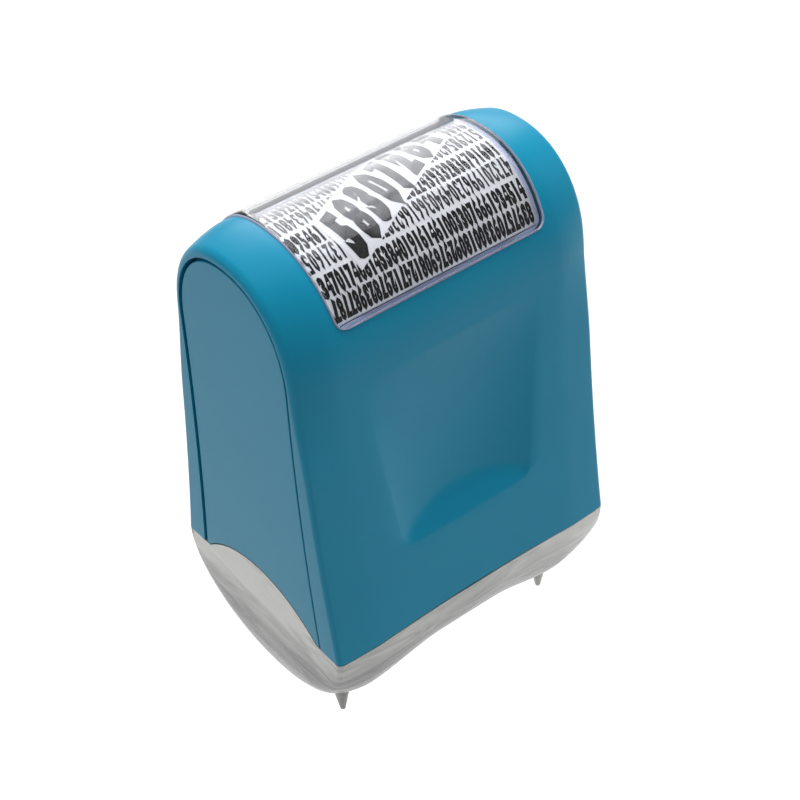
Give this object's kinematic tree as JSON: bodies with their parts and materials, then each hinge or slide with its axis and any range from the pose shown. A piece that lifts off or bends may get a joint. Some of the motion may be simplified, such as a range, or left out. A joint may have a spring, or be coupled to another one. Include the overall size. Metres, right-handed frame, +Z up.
{
  "type": "privacy roller stamp",
  "caption": "Hand-held roller stamp with an arched moulded housing, a pattern window on top, thumb scoops, an inked roller cartridge inside and a clear push-on cap with small feet.",
  "frame": {"origin": "on the table, midway between the four feet of the cap", "axes": "+Z up towards the window, +X along the rollers, -Y towards the front thumb scoop"},
  "size_m": [0.0478, 0.0368, 0.0778],
  "materials": {
    "blue_abs": "satin moulded",
    "clear_ps": "clear polished",
    "printed_card": "printed card",
    "white_pp": "moulded",
    "grey_pp": "moulded",
    "stamp_rubber": "engraved rubber",
    "ring_rubber": "plain rubber",
    "inked_foam": "open foam soaked in ink",
    "steel": "drawn wire"
  },
  "bodies": {
    "housing": {"housing_shell": "blue_abs", "end_cover_left": "blue_abs", "end_cover_right": "blue_abs", "window_lens": "clear_ps", "pattern_label": "printed_card"},
    "cartridge": {"cartridge_frame": "white_pp", "print_axle": "steel", "ink_tank": "grey_pp", "tank_lid": "grey_pp", "filler_plug": "white_pp", "ink_sponge": "inked_foam"},
    "print_roller": {"print_sleeve": "stamp_rubber", "print_core": "grey_pp", "drive_ring_left": "ring_rubber", "drive_ring_right": "ring_rubber", "core_hub_left": "grey_pp", "core_hub_right": "grey_pp"},
    "ink_roller": {"ink_foam": "inked_foam", "ink_spool": "white_pp", "ink_spool_cap": "white_pp"},
    "cap": {"clear_cap": "clear_ps"}
  },
  "joints": [
    {"name": "cartridge_slide", "type": "slide", "parent": "housing", "child": "cartridge", "axis": [0, 0, -1], "range_m": [0, 0.044]},
    {"name": "cap_slide", "type": "slide", "parent": "cartridge", "child": "cap", "axis": [0, 0, -1], "range_m": [0, 0.022]},
    {"name": "print_roller_spin", "type": "hinge", "parent": "cartridge", "child": "print_roller", "pos_m": [0, 0, 0.0191], "axis": [1, 0, 0], "continuous": true},
    {"name": "ink_roller_spin", "type": "hinge", "parent": "cartridge", "child": "ink_roller", "pos_m": [0, 0, 0.0384], "axis": [1, 0, 0], "continuous": true}
  ],
  "couplings": [
    {"joint": "ink_roller_spin", "follows": "print_roller_spin", "ratio": -1.9231}
  ]
}
